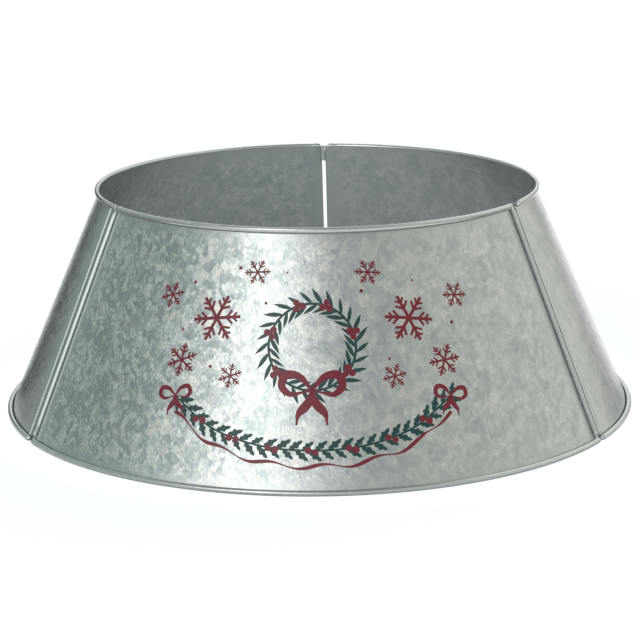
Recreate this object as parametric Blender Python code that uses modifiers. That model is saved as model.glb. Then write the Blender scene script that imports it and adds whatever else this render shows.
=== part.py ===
# Christmas tree collar: three galvanised steel panels that stand as an open cone round a tree's foot.
# Metres, +Z up. The origin is on the floor, on the cone's axis, and the front faces -Y.
# Each panel is one sheet. Its rims are rolled outwards into hollow curls, and its two ends are
# folded: the hook on a panel's left end slides up into the pocket on its neighbour's right end.
from collections import namedtuple
from math import asin, atan2, cos, hypot, pi, radians, sin

import bmesh
import bpy

# The cone, measured over its rims
BOTTOM_DIAMETER = 0.660
TOP_DIAMETER = 0.462
HEIGHT = 0.232
SHEET = 0.0003                    # thickness of the steel
PANEL_ANGLE = radians(120)

# Rims
RIM_DIAMETER = 0.0054             # outside of the rolled curl
RIM_ROLL = radians(300)
FOOT_FACET = radians(36)          # width of the flat that the bottom curl stands on
BARE_FOOT = 0.0010                # how far the sheet goes on below the roll where a rim is cut away
BARE_HEAD = 0.0022                # and above it

# Seams, seen square on: a flat band with a pressed bead on either side of it
SEAM_GAP = 0.0003                 # air between two layers
BAND_WIDTH = 0.0082
BAND_WALL = 0.0006                # width of the step from the sheet up to the band
HOOK_PLAY = 0.0007                # sideways play of one fold inside the other
BEAD_WIDTH = 0.0028
BEAD_HEIGHT = 0.0010
POCKET_GROOVE = 0.0046            # between the band and the bead on the pocket's panel
GROOVE_DEPTH = 0.0006             # how far that groove is pressed in
HOOK_GROOVE = 0.0036              # between the band and the bead on the hook's panel
FLAT_SPARE = 0.0014               # flat sheet beyond the last feature of a seam

# Along the slope, at either end of a seam
RIM_GUARD = 0.0018                # plain strip beside a rim
FOLD_RELIEF = 0.0015              # notch between that strip and the fold
PRESS_RUNOUT = 0.0030             # slope at the end of a bead or groove

# The rear joint, which isn't locked: one slit, closed at its ends by two tongues
REAR_SLIT = 0.0045
REAR_RIM_GAP = 0.0084             # between the ends of the rims
TONGUE_HEIGHT = 0.0110
TONGUE_STEP = 0.0017              # width of the step out to the tongue
TONGUE_LAP = 0.0038               # how far a tongue lies over the other panel

# Where the rims end at the two front seams, across the seam from its middle:
# lap is the end of the left-hand panel's rim, and gap the air up to its neighbour's
LEFT_SEAM = {"top_lap": 0.0080, "top_gap": 0.0022, "bottom_lap": 0.0004, "bottom_gap": 0.0050}
RIGHT_SEAM = {"top_lap": -0.0047, "top_gap": 0.0173, "bottom_lap": -0.0010, "bottom_gap": 0.0078}

ARC_STEPS = 24                    # facets round a panel
FOLD_STEPS = 3
BEAD_STEPS = 4

# The sheet's middle surface, from the sizes over the rims
CURL_RADIUS = (RIM_DIAMETER - SHEET) / 2
RUN = (BOTTOM_DIAMETER - TOP_DIAMETER) / 2
RISE = HEIGHT - CURL_RADIUS * (1 + cos(FOOT_FACET / 2)) - SHEET
SLOPE = atan2(RUN, RISE)
SLANT = hypot(RUN, RISE)
FOOT_RADIUS = BOTTOM_DIAMETER / 2 - CURL_RADIUS * (1 + cos(SLOPE)) - SHEET / 2
FOOT_HEIGHT = CURL_RADIUS * (cos(FOOT_FACET / 2) - sin(SLOPE)) + SHEET / 2

# Layers of a locked seam, outwards from the hook panel's sheet
LAYER = SHEET + SEAM_GAP
POCKET_FLAP = LAYER
HOOK_FLAP = 2 * LAYER
BAND_LIFT = 3 * LAYER
FOLD_RADIUS = LAYER
BAND_END = BAND_WIDTH / 2
HOOK_END = BAND_WALL + SHEET + HOOK_PLAY - BAND_END

# Slant places of the rows of points
STRIP = RIM_DIAMETER / 2 + RIM_GUARD
FOLD_START = STRIP + FOLD_RELIEF
PRESS_FULL = FOLD_START + PRESS_RUNOUT
TONGUE_END = STRIP + TONGUE_HEIGHT
NEAR_ROWS = [0, STRIP, FOLD_START, PRESS_FULL, TONGUE_END]
ROWS = NEAR_ROWS + [SLANT / 2] + [SLANT - row for row in reversed(NEAR_ROWS)]
LAST = len(ROWS) - 1
STRIP_ROW = ROWS.index(STRIP)
FOLD_ROW = ROWS.index(FOLD_START)
PRESS_ROW = ROWS.index(PRESS_FULL)
TONGUE_ROW = ROWS.index(TONGUE_END)

# The flat margin beside each seam reaches past all that lies on it
POCKET_BEAD = BAND_END + POCKET_GROOVE
HOOK_BEAD = BAND_END + HOOK_GROOVE
RIM_STARTS = [seam[edge + "_lap"] + seam[edge + "_gap"]
              for seam in (LEFT_SEAM, RIGHT_SEAM) for edge in ("top", "bottom")]
FLAT_MARGIN = max([POCKET_BEAD + BEAD_WIDTH, HOOK_BEAD + BEAD_WIDTH] + RIM_STARTS) + FLAT_SPARE
FLAT_SAG = FLAT_MARGIN ** 2 / (BOTTOM_DIAMETER + TOP_DIAMETER) * 2

# A column of points up the slope. On a flat margin, across is measured from the seam's middle, and
# end is 0 or 1 for the panel's left or right end. On the arc between, end is None and across is the
# share of the way. Lift holds all the way up, press only between the run-outs.
Column = namedtuple("Column", "end across lift press")

# A strip of faces between two columns, with its rows and what its ends carry: rim, bare or nothing
Strip = namedtuple("Strip", "left right first last foot head")


def clear_scene():
    for item in list(bpy.data.objects):
        bpy.data.objects.remove(item, do_unlink=True)


def make_collection(name):
    collection = bpy.data.collections.new(name)
    bpy.context.scene.collection.children.link(collection)
    return collection


def make_steel(name, colour, roughness):
    material = bpy.data.materials.new(name)
    material.use_nodes = True
    shader = material.node_tree.nodes["Principled BSDF"]
    shader.inputs["Base Color"].default_value = colour
    shader.inputs["Metallic"].default_value = 1.0
    shader.inputs["Roughness"].default_value = roughness
    return material


def steps_between(first, last, steps):
    return [first + (last - first) * step / steps for step in range(steps + 1)]


def curl_points(angles, start):
    # Angles are measured about the curl's centre from the sheet's outward normal
    return [(start + CURL_RADIUS * sin(angle), CURL_RADIUS * (1 + cos(angle))) for angle in angles]


def foot_curl():
    down = 3 * pi / 2 - SLOPE
    angles = steps_between(pi, down - FOOT_FACET / 2, 2)
    angles += steps_between(down + FOOT_FACET / 2, pi + RIM_ROLL, 6)
    return curl_points(angles, 0)


def head_curl():
    up = pi / 2 - SLOPE
    angles = steps_between(pi, up, 3)[:-1] + steps_between(up, pi - RIM_ROLL, 5)
    return curl_points(angles, SLANT)


def locate(column, slant, out):
    # A point of the panel in its own frame, whose origin is the foot of its left-hand seam
    radius = FOOT_RADIUS - slant * sin(SLOPE)
    if column.end is None:
        margin = asin(FLAT_MARGIN / radius)
        azimuth = margin + column.across * (PANEL_ANGLE - 2 * margin)
        sideways = 0
    else:
        azimuth = column.end * PANEL_ANGLE
        sideways = column.across
        out = out - FLAT_SAG
    reach = radius + out * cos(SLOPE)
    x = reach * sin(azimuth) + sideways * cos(azimuth)
    y = FOOT_RADIUS - reach * cos(azimuth) + sideways * sin(azimuth)
    return x, y, slant * cos(SLOPE) + out * sin(SLOPE)


def bead_columns(end, start):
    # A bead is an arc from foot to foot
    half = BEAD_WIDTH / 2
    radius = (half ** 2 + BEAD_HEIGHT ** 2) / (2 * BEAD_HEIGHT)
    reach = asin(half / radius)
    columns = []
    for angle in steps_between(-reach, reach, BEAD_STEPS):
        rise = max(radius * cos(angle) - (radius - BEAD_HEIGHT), 0)
        columns.append(Column(end, start + half + radius * sin(angle), 0, rise))
    return columns


def fold_columns(end, centre, side, lift, angles):
    return [Column(end, centre + side * FOLD_RADIUS * cos(angle), lift + FOLD_RADIUS * sin(angle), 0)
            for angle in angles]


def with_cuts(columns, cuts):
    # Adds a column wherever a rim begins or ends between two others
    for cut in cuts:
        if any(abs(column.across - cut) < SHEET for column in columns):
            continue
        for index in range(len(columns) - 1):
            near, far = columns[index], columns[index + 1]
            if near.across < cut < far.across:
                share = (cut - near.across) / (far.across - near.across)
                lift = near.lift + (far.lift - near.lift) * share
                press = near.press + (far.press - near.press) * share
                columns.insert(index + 1, Column(near.end, cut, lift, press))
                break
    return columns


def sheet_strips(columns, foot_rim, head_rim):
    # Full-height strips; each rim test says whether the strip between two columns carries a rim
    strips = []
    for left, right in zip(columns, columns[1:]):
        middle = (left.across + right.across) / 2
        foot = "rim" if foot_rim(middle) else "bare"
        head = "rim" if head_rim(middle) else "bare"
        strips.append(Strip(left, right, 0, LAST, foot, head))
    return strips


def fold_strips(columns):
    return [Strip(left, right, FOLD_ROW, LAST - FOLD_ROW, None, None)
            for left, right in zip(columns, columns[1:])]


def hook_end(seam):
    # The left end: the sheet turns outwards and back, into the neighbour's pocket
    foot_start = seam["bottom_lap"] + seam["bottom_gap"]
    head_start = seam["top_lap"] + seam["top_gap"]
    centre = HOOK_END + FOLD_RADIUS
    flap_tip = BAND_END - SHEET / 2 - HOOK_PLAY
    flap = [Column(0, flap_tip, HOOK_FLAP, 0)]
    flap += fold_columns(0, centre, 1, LAYER, steps_between(pi / 2, 3 * pi / 2, FOLD_STEPS))
    sheet = [flap[-1]] + bead_columns(0, HOOK_BEAD) + [Column(0, FLAT_MARGIN, 0, 0)]
    sheet = with_cuts(sheet, [foot_start, head_start])
    strips = fold_strips(flap)
    strips += sheet_strips(sheet, lambda place: place > foot_start, lambda place: place > head_start)
    return strips, sheet[-1]


def pocket_end(seam):
    # The right end: the sheet steps out to the band, then turns inwards and back under it
    foot_end, head_end = seam["bottom_lap"], seam["top_lap"]
    centre = BAND_END - FOLD_RADIUS
    sheet = [Column(1, -FLAT_MARGIN, 0, 0)] + bead_columns(1, -POCKET_BEAD - BEAD_WIDTH)
    sheet.append(Column(1, -POCKET_BEAD + BAND_WALL, 0, -GROOVE_DEPTH))
    sheet.append(Column(1, -BAND_END - BAND_WALL, 0, -GROOVE_DEPTH))
    sheet.append(Column(1, -BAND_END, 0, 0))
    sheet.append(Column(1, -BAND_END + BAND_WALL, BAND_LIFT, 0))
    sheet.append(Column(1, centre, BAND_LIFT, 0))
    sheet = with_cuts(sheet, [foot_end, head_end])
    fold = fold_columns(1, centre, 1, 2 * LAYER, steps_between(pi / 2, -pi / 2, FOLD_STEPS))
    fold[0] = sheet[-1]
    fold.append(Column(1, HOOK_END + SHEET / 2 + HOOK_PLAY, POCKET_FLAP, 0))
    strips = sheet_strips(sheet, lambda place: place < foot_end, lambda place: place < head_end)
    strips += fold_strips(fold)
    # A rim that laps further than the band goes on along a narrow strip
    if foot_end > centre:
        strips.append(Strip(sheet[-1], Column(1, foot_end, BAND_LIFT, 0), 0, STRIP_ROW, "rim", None))
    if head_end > centre:
        strips.append(Strip(sheet[-1], Column(1, head_end, BAND_LIFT, 0), LAST - STRIP_ROW, LAST, None, "rim"))
    return strips, sheet[0]


def rear_left_end():
    # The left end at the rear: a plain edge, with the rims cut back from it
    rim_start = REAR_RIM_GAP / 2
    sheet = [Column(0, REAR_SLIT / 2, 0, 0), Column(0, FLAT_MARGIN, 0, 0)]
    sheet = with_cuts(sheet, [rim_start])
    return sheet_strips(sheet, lambda place: place > rim_start, lambda place: place > rim_start), sheet[-1]


def rear_right_end():
    # The right end at the rear: a plain edge with two tongues, which lie outside the other panel
    rim_end = -REAR_RIM_GAP / 2
    sheet = [Column(1, -FLAT_MARGIN, 0, 0), Column(1, -REAR_SLIT / 2, 0, 0)]
    sheet = with_cuts(sheet, [rim_end])
    tongue = [sheet[-1], Column(1, -REAR_SLIT / 2 + TONGUE_STEP, LAYER, 0),
              Column(1, REAR_SLIT / 2 + TONGUE_LAP, LAYER, 0)]
    strips = sheet_strips(sheet, lambda place: place < rim_end, lambda place: place < rim_end)
    for left, right in zip(tongue, tongue[1:]):
        strips.append(Strip(left, right, STRIP_ROW, TONGUE_ROW, None, None))
        strips.append(Strip(left, right, LAST - TONGUE_ROW, LAST - STRIP_ROW, None, None))
    return strips, sheet[0]


def arc_strips(left, right):
    columns = [Column(None, step / ARC_STEPS, 0, 0) for step in range(1, ARC_STEPS)]
    columns = [left] + columns + [right]
    return [Strip(near, far, 0, LAST, "rim", "rim") for near, far in zip(columns, columns[1:])]


def column_points(column, first, last, foot, head):
    # The points of one column of a strip, from its foot to its head
    points = []
    if foot == "rim":
        points += reversed(foot_curl()[1:])
    elif foot == "bare":
        points.append((-BARE_FOOT, 0))
    for row in range(first, last + 1):
        pressed = column.press if PRESS_ROW <= row <= LAST - PRESS_ROW else 0
        points.append((ROWS[row], pressed))
    if head == "rim":
        points += head_curl()[1:]
    elif head == "bare":
        points.append((SLANT + BARE_HEAD, 0))
    return [locate(column, slant, column.lift + out) for slant, out in points]


def build_panel(name, strips, collection, material):
    shape = bmesh.new()
    for strip in strips:
        sides = []
        for column in (strip.left, strip.right):
            points = column_points(column, strip.first, strip.last, strip.foot, strip.head)
            sides.append([shape.verts.new(point) for point in points])
        left, right = sides
        for row in range(len(left) - 1):
            shape.faces.new((left[row], right[row], right[row + 1], left[row + 1]))
    bmesh.ops.remove_doubles(shape, verts=shape.verts, dist=SHEET / 10)
    mesh = bpy.data.meshes.new(name)
    shape.to_mesh(mesh)
    shape.free()
    mesh.shade_smooth()
    mesh.set_sharp_from_angle(angle=radians(40))
    mesh.materials.append(material)
    panel = bpy.data.objects.new(name, mesh)
    collection.objects.link(panel)
    thickness = panel.modifiers.new("sheet", "SOLIDIFY")
    thickness.thickness = SHEET
    thickness.offset = 0
    thickness.use_even_offset = True
    thickness.use_quality_normals = True
    return panel


def stand_panel(panel, azimuth):
    # The panel's origin goes to the foot of its left-hand seam, on the line that it slides along
    panel.location = (FOOT_RADIUS * sin(azimuth), -FOOT_RADIUS * cos(azimuth), FOOT_HEIGHT)
    panel.rotation_euler = (0, 0, azimuth)


def main():
    clear_scene()
    collection = make_collection("christmas_tree_collar")
    panels = {
        "left_panel": (-PANEL_ANGLE * 3 / 2, rear_left_end(), pocket_end(LEFT_SEAM), (0.30, 0.35, 0.35, 1)),
        "front_panel": (-PANEL_ANGLE / 2, hook_end(LEFT_SEAM), pocket_end(RIGHT_SEAM), (0.42, 0.46, 0.45, 1)),
        "right_panel": (PANEL_ANGLE / 2, hook_end(RIGHT_SEAM), rear_right_end(), (0.50, 0.52, 0.50, 1)),
    }
    for name, (azimuth, left_end, right_end, colour) in panels.items():
        left_strips, left_column = left_end
        right_strips, right_column = right_end
        strips = left_strips + arc_strips(left_column, right_column) + right_strips
        steel = make_steel(name + "_zinc", colour, 0.38)
        stand_panel(build_panel(name, strips, collection, steel), azimuth)


main()
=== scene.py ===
from math import asin, atan2, ceil, cos, hypot, pi, radians, sin

import bmesh
import bpy
from mathutils import Matrix


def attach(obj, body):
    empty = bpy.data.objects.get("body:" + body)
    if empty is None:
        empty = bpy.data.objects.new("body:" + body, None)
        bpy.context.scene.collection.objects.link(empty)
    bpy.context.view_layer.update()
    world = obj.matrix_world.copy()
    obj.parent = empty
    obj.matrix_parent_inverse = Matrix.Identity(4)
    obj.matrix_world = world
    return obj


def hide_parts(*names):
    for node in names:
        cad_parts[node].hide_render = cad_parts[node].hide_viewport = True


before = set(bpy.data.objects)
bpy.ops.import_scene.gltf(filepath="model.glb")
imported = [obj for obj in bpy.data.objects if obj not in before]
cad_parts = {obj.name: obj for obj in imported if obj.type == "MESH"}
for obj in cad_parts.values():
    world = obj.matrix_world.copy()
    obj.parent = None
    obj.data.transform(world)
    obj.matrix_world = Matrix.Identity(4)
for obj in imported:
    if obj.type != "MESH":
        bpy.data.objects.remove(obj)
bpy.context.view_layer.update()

# Lengths are in metres. The floor is z = 0, the cone's axis is the Z axis, and the front faces -Y.

cone = {
    "bottomDiameter": 0.660,        # over the rims
    "topDiameter": 0.462,
    "height": 0.232,
    "sheet": 0.0003,
    "panelAngle": radians(120),
    "arcSteps": 132,
    "wallSteps": 26,
}

rim = {
    "diameter": 0.0054,
    "roll": radians(300),
    "footFacet": radians(36),       # the flat that the bottom curl stands on
    "curlSteps": 22,
    "facetSteps": 5,
    "bareFoot": 0.0016,             # sheet left below the roll where the rim is cut away
    "bareHead": 0.0022,
    "valley": 0.0027,               # painted shade with some grime lies between the roll's edge and the sheet, up to here
    "valleyFade": 0.0006,
    "valleyDirt": {"foot": 0.60, "head": 0.42},
    "swellRun": 0.0090,
    # painted shade on the bare sheet below a cut foot rim, and a painted highlight on that above a cut head
    # rim
    "bareDirt": {"foot": 0.6, "head": -0.4},
}

# A cut rim is pinched at its end, swells a little beyond and has painted shade at its mouth
rimEnds = {
    "plain": {"pinch": 0.08, "run": 0.0024, "swell": 0.02, "dirt": 0.70},
    "bulged": {"pinch": 0.20, "run": 0.0024, "swell": 0.11, "dirt": 0.25},
    "closed": {"pinch": 0.66, "run": 0.0036, "swell": 0.03, "dirt": 0.10},
    "tucked": {"pinch": 0.52, "run": 0.0032, "swell": 0.02, "dirt": 0.50},
}

seam = {
    "air": 0.0002,                  # between two layers
    "bandStart": -0.0019,           # the band's foot, from the seam's middle
    "bandWall": 0.0006,
    "hookPlay": 0.0005,
    "flapEnd": 0.0017,
    "crestPlace": 0.0016,           # the band rises to a crest and falls steeply beyond it
    "crestLift": 0.0028,
    "crestRound": 0.0006,
    "lipPlace": 0.0042,
    "beadWidth": 0.0028,
    "beadStop": -0.0100,
    "grooveDepth": 0.0005,
    "swellStart": 0.0081,
    "swellHeight": 0.0007,
    "swellLean": 0.6,               # below 1 its top lies nearer its start
    # runs over which the painted highlight beyond the lip fades in and the painted shade at the lip fades out
    "sheenRun": 0.0008,
    "lipRun": 0.0006,
    "hollowEdgeShade": 0.8,              # painted shade at a hollow's near edge, as a share
    # painted shade on the band's wall and in the pocket's fold
    "wallDirt": 0.3,
    "foldDirt": 0.1,
    "foldBegins": 0.2,              # the angle at which the pocket's fold goes on from the band
    "flatMargin": 0.0140,
    "rimGuard": 0.0018,             # plain strip beside a rim
    "foldRelief": 0.0015,           # notch between that strip and the fold
    "pressStart": 0.0012,           # where beads and grooves begin, from the sheet's edge
    "pressRunout": 0.0015,
    "roundSteps": 8,
    "beadSteps": 12,
}

# Where the rims end at the two front seams: lap is the left-hand panel's rim, gap the air after it.
# Bead is its height on that panel, and the sheen is a painted highlight on the strip beyond the band on the
# other.
# Groove, hollow and lip values are painted shade with some grime in the seam's recesses; the other sheens and
# a negative lip value are painted highlights
leftSeam = {
    "topLap": 0.0080, "topGap": 0.0010, "footLap": -0.0030, "footGap": 0.0076,
    "topLapEnd": "tucked", "topGapEnd": "bulged", "footLapEnd": "tucked", "footGapEnd": "plain",
    "bead": 0.0012, "beadSheen": 0.40, "grooveDirt": 0.50, "hollowDirt": 0.50, "lipDirt": -0.25,
    "bandSheen": 0.38, "paintedSheen": 0.90, "sheenWidth": 0.0056,
}
rightSeam = {
    "topLap": -0.0047, "topGap": 0.0145, "footLap": -0.0010, "footGap": 0.0057,
    "topLapEnd": "bulged", "topGapEnd": "closed", "footLapEnd": "plain", "footGapEnd": "closed",
    "bead": 0.0005, "beadSheen": 0.10, "grooveDirt": 0.16, "hollowDirt": 1.0, "lipDirt": 0.78,
    "bandSheen": 0.20, "paintedSheen": 0.45, "sheenWidth": 0.0026,
}

rear = {
    "slit": 0.0039,
    "shift": -0.0007,               # of the slit, towards the left panel
    "rimGap": 0.0084,
    "ends": ("plain", "bulged"),
    "tongueHeight": 0.0140,
    "tongueStep": 0.0017,
    "tongueLap": 0.0038,
    "tabGap": 0.0004,
    # Painted shade in the closed upper end, with a painted highlight where a value is negative
    "leftCreaseShading": [(0, -0.5), (0.5, -0.3), (1, 0.8), (1.4, 0.1)],      # by shares of the tongue's step
    "tabCreaseShading": -0.5,
    "rightCreaseShading": 0.5,
    "tongueCreaseShading": (-0.6, 0.3),
}

# The sheet's middle surface, worked out from the sizes over the rims
curlRadius = (rim["diameter"] - cone["sheet"]) / 2
run = (cone["bottomDiameter"] - cone["topDiameter"]) / 2
rise = cone["height"] - curlRadius * (1 + cos(rim["footFacet"] / 2)) - cone["sheet"]
slope = atan2(run, rise)
slant = hypot(run, rise)
footRadius = cone["bottomDiameter"] / 2 - curlRadius * (1 + cos(slope)) - cone["sheet"] / 2
footHeight = curlRadius * (cos(rim["footFacet"] / 2) - sin(slope)) + cone["sheet"] / 2
apexReach = footRadius / sin(slope)               # from the foot up to the cone's apex
blankWidth = footRadius * cone["panelAngle"]

layer = cone["sheet"] + seam["air"]
shoulder = seam["bandStart"] + seam["bandWall"]
hookEnd = shoulder + cone["sheet"] + seam["hookPlay"]
strip = rim["diameter"] / 2 + seam["rimGuard"]
foldStart = strip + seam["foldRelief"]
tongueEnd = strip + rear["tongueHeight"]


def stepsBetween(first, last, steps):
    return [first + (last - first) * step / steps for step in range(steps + 1)]


def smooth(share):
    share = min(max(share, 0), 1)
    return share * share * (3 - 2 * share)


def makeRows():
    near = [0] + stepsBetween(seam["pressStart"], seam["pressStart"] + seam["pressRunout"], 3)
    near += [rim["valley"] + rim["valleyFade"]] + stepsBetween(strip, foldStart, 4) + [tongueEnd]
    middle = stepsBetween(tongueEnd, slant - tongueEnd, cone["wallSteps"])[1:-1]
    return near + middle + [slant - row for row in reversed(near)]


rows = makeRows()
lastRow = len(rows) - 1
stripRow = rows.index(strip)
foldRow = rows.index(foldStart)
tongueRow = rows.index(tongueEnd)


def pressShare(place):
    # Beads and grooves run out smoothly under the rims
    inward = min(place, slant - place) - seam["pressStart"]
    return smooth(inward / seam["pressRunout"])


def bandLift(lift, place):
    # The band sinks to its lowest layers beside the rims
    low = min(lift, layer if place < slant / 2 else 3 * layer)
    inward = min(place, slant - place) - strip
    return low + (lift - low) * smooth(inward / seam["foldRelief"])


def column(x, lift=0, press=0, dirt=0, crease=0):
    # The shade value is grime with painted shade, and a painted highlight where negative. Crease is the
    # painted shade and highlight in the rear joint's closed upper end
    return {"x": x, "lift": lift, "press": press, "dirt": dirt, "crease": crease,
            "footSize": 1, "headSize": 1, "footDirt": 0, "headDirt": 0}


def curl(start, size, first, last, steps):
    # Points across a rim's roll, about its centre, from the sheet's outward normal
    radius = curlRadius * size
    return [(start + radius * sin(angle), radius * (1 + cos(angle)), abs(angle - pi) * radius)
            for angle in stepsBetween(first, last, steps)]


def footCurl(size):
    down = 3 * pi / 2 - slope
    facet = rim["footFacet"] / 2
    points = curl(0, size, pi, down - facet, rim["facetSteps"])
    points += curl(0, size, down + facet, pi + rim["roll"], rim["curlSteps"] - rim["facetSteps"] - 1)
    return [(place, out, -travel) for place, out, travel in points]


def headCurl(size):
    points = curl(slant, size, pi, pi - rim["roll"], rim["curlSteps"])
    return [(place, out, slant + travel) for place, out, travel in points]


# A bead whose crest gets a painted highlight
def beadColumns(start, rise, paintedSheen):
    half = seam["beadWidth"] / 2
    radius = (half ** 2 + rise ** 2) / (2 * rise)
    reach = asin(half / radius)
    columns = []
    for angle in stepsBetween(-reach, reach, seam["beadSteps"]):
        height = max(radius * cos(angle) - (radius - rise), 0)
        x = start + half + radius * sin(angle)
        columns.append(column(x, press=height, dirt=-paintedSheen * height / rise))
    return columns


def swellColumns(start, lipDirt, paintedSheen, width):
    # On the hook's panel the bead is a low soft swell with a painted highlight, which runs on into the flat;
    # the lip before it gets painted shade on one seam and a painted highlight on the other
    columns = []
    for share in stepsBetween(0, 1, 2 * seam["beadSteps"]):
        beyond = (seam["flatMargin"] - start) * share
        height = seam["swellHeight"] * sin(pi * share ** seam["swellLean"]) ** 2
        bright = smooth(beyond / seam["sheenRun"]) * (1 - smooth(2 * beyond / width - 1))
        dirt = lipDirt * (1 - smooth(beyond / seam["lipRun"])) - paintedSheen * bright
        columns.append(column(start + beyond, press=height, dirt=dirt))
    return columns


def mixed(first, last, share, keys):
    return {key: first[key] + (last[key] - first[key]) * share for key in keys}


def rampColumns(first, last, steps):
    # A smooth step between two columns
    return [column(mixed(first, last, share, ["x"])["x"],
                   **mixed(first, last, smooth(share), ["lift", "press", "dirt", "crease"]))
            for share in stepsBetween(0, 1, steps)]


def pointBetween(first, last, share):
    return tuple(a + (b - a) * share for a, b in zip(first, last))


def roundedLine(points, radius, steps):
    # A line through the points whose inner corners are rounded
    line = [points[0]]
    for before, corner, after in zip(points, points[1:], points[2:]):
        ends = [pointBetween(corner, other, radius / hypot(other[0] - corner[0], other[1] - corner[1]))
                for other in (before, after)]
        for share in stepsBetween(0, 1, steps):
            near, far = pointBetween(ends[0], corner, share), pointBetween(corner, ends[1], share)
            line.append(pointBetween(near, far, share))
    return line + [points[-1]]


def foldColumns(centre, lift, angles, dirt):
    return [column(centre + layer * cos(angle), lift + layer * sin(angle), dirt=dirt) for angle in angles]


def cutColumns(columns, cuts):
    # Adds a column wherever a rim begins or ends between two others
    for cut in cuts:
        if any(abs(item["x"] - cut) < cone["sheet"] / 2 for item in columns):
            continue
        for index in range(len(columns) - 1):
            near, far = columns[index], columns[index + 1]
            if near["x"] < cut < far["x"]:
                share = (cut - near["x"]) / (far["x"] - near["x"])
                columns.insert(index + 1, mixed(near, far, share, near))
                break
    return columns


def rimSize(end, away):
    # How full a rim is at a distance from its cut end
    return (1 - end["pinch"] * (1 - smooth(away / end["run"]))
            + end["swell"] * sin(pi * min(max(away / rim["swellRun"], 0), 1)))


def endRims(columns, cuts, side, ends):
    # Cuts the foot's and the head's rim at their ends, on the given side of which they go on
    for cut, end, part in zip(cuts, [rimEnds[name] for name in ends], ("foot", "head")):
        steps = stepsBetween(0, end["run"], 4) + stepsBetween(end["run"], rim["swellRun"], 4)[1:]
        cutColumns(columns, [cut + side * step for step in steps])
        for item in columns:
            away = side * (item["x"] - cut)
            item[part + "Size"] = rimSize(end, away)
            # painted shade at the rim's cut mouth
            item[part + "Dirt"] = end["dirt"] * (1 - smooth(away / end["run"] * 2))
    return columns


def sheetStrips(columns, cuts, side):
    strips = []
    for left, right in zip(columns, columns[1:]):
        middle = (left["x"] + right["x"]) / 2
        kinds = ["rim" if side * (middle - cut) > 0 else "bare" for cut in cuts]
        strips.append((left, right, 0, lastRow, *kinds))
    return strips


def foldStrips(columns):
    return [(left, right, foldRow, lastRow - foldRow, None, None)
            for left, right in zip(columns, columns[1:])]


def hookSide(places):
    cuts = (places["footLap"] + places["footGap"], places["topLap"] + places["topGap"])
    # Painted shade on the hidden flap and in the gap under the lip
    flap = [column(seam["flapEnd"], 2 * layer, dirt=1)]
    flap += foldColumns(hookEnd + layer, layer, stepsBetween(pi / 2, 3 * pi / 2, seam["roundSteps"]), 1)
    groove = column(seam["lipPlace"], press=-seam["grooveDepth"] / 2, dirt=places["lipDirt"])
    sheet = [flap[-1]] + rampColumns(column(seam["flapEnd"], dirt=1), groove, 3)
    sheet += rampColumns(groove, column(seam["swellStart"], dirt=places["lipDirt"]), 4)[1:-1]
    sheet += swellColumns(seam["swellStart"], places["lipDirt"], places["paintedSheen"], places["sheenWidth"])
    sheet = endRims(sheet, cuts, 1, (places["footGapEnd"], places["topGapEnd"]))
    return foldStrips(flap) + sheetStrips(sheet, cuts, 1), sheet[-1]


def pocketSide(places):
    cuts = footStop, headStop = blankWidth + places["footLap"], blankWidth + places["topLap"]
    ends = (places["footLapEnd"], places["topLapEnd"])
    lip = seam["lipPlace"] - layer / 2
    sheet = [column(-seam["flatMargin"])] + beadColumns(
        seam["beadStop"] - seam["beadWidth"], places["bead"], places["beadSheen"])[:-1]
    # Painted shade with some grime in the groove beside the bead, in the hollow at the band's foot and low on
    # the band's wall
    bottom = column(seam["beadStop"] + 2 * seam["bandWall"], press=-seam["grooveDepth"],
                    dirt=places["grooveDirt"])
    sheet += rampColumns(column(seam["beadStop"]), bottom, 4)
    foot = column(seam["bandStart"] - seam["beadWidth"] / 2, press=-seam["grooveDepth"],
                  dirt=places["hollowDirt"] * seam["hollowEdgeShade"])
    start = column(seam["bandStart"], dirt=places["hollowDirt"])
    sheet += rampColumns(foot, start, 3)
    wall = rampColumns(start, column(shoulder, 3 * layer), 6)
    wall[2]["dirt"], wall[3]["dirt"] = seam["wallDirt"], 0
    sheet += wall[1:]
    crest = [(shoulder, 3 * layer), (seam["crestPlace"], seam["crestLift"]), (seam["lipPlace"], 1.5 * layer)]
    # A painted highlight on the band's crest
    sheet += [column(x, lift, dirt=-places["bandSheen"])
              for x, lift in roundedLine(crest, seam["crestRound"], 6)[1:]]
    # Painted shade in the fold beneath the lip
    fold = [column(lip + layer / 2 * cos(angle), 1.5 * layer + layer / 2 * sin(angle), dirt=seam["foldDirt"])
            for angle in stepsBetween(seam["foldBegins"], -pi / 2, seam["roundSteps"])]
    fold.append(column(hookEnd + cone["sheet"] / 2 + seam["hookPlay"], layer, dirt=1))
    for item in sheet + fold:
        item["x"] += blankWidth
    fold[0] = sheet[-1]
    lap = [sheet[-1], column(max(footStop, headStop), 3 * layer)]
    if lap[1]["x"] > lap[0]["x"]:                     # a rim that laps further goes on along a narrow strip
        lap = endRims(lap, cuts, -1, ends)
    sheet = endRims(sheet, cuts, -1, ends)
    strips = sheetStrips(sheet, cuts, -1) + foldStrips(fold)
    for left, right in zip(lap, lap[1:]):
        if left["x"] < right["x"] <= footStop:
            strips.append((left, right, 0, stripRow, "rim", None))
        if left["x"] < right["x"] <= headStop:
            strips.append((left, right, lastRow - stripRow, lastRow, None, "rim"))
    return strips, sheet[0]


def rearLeftSide():
    cuts = (rear["rimGap"] / 2,) * 2
    edge = rear["slit"] / 2 - rear["shift"]
    sheet = [column(edge + rear["tongueStep"] * share, crease=crease)
             for share, crease in rear["leftCreaseShading"]]
    sheet = endRims(sheet + [column(seam["flatMargin"])], cuts, 1, rear["ends"])
    tab = column(rear["tabGap"] - rear["slit"] / 2 - rear["shift"], crease=rear["tabCreaseShading"])
    strips = sheetStrips(sheet, cuts, 1) + [(tab, sheet[0], lastRow - stripRow, lastRow, None, "bare")]
    return strips, sheet[-1]


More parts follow.
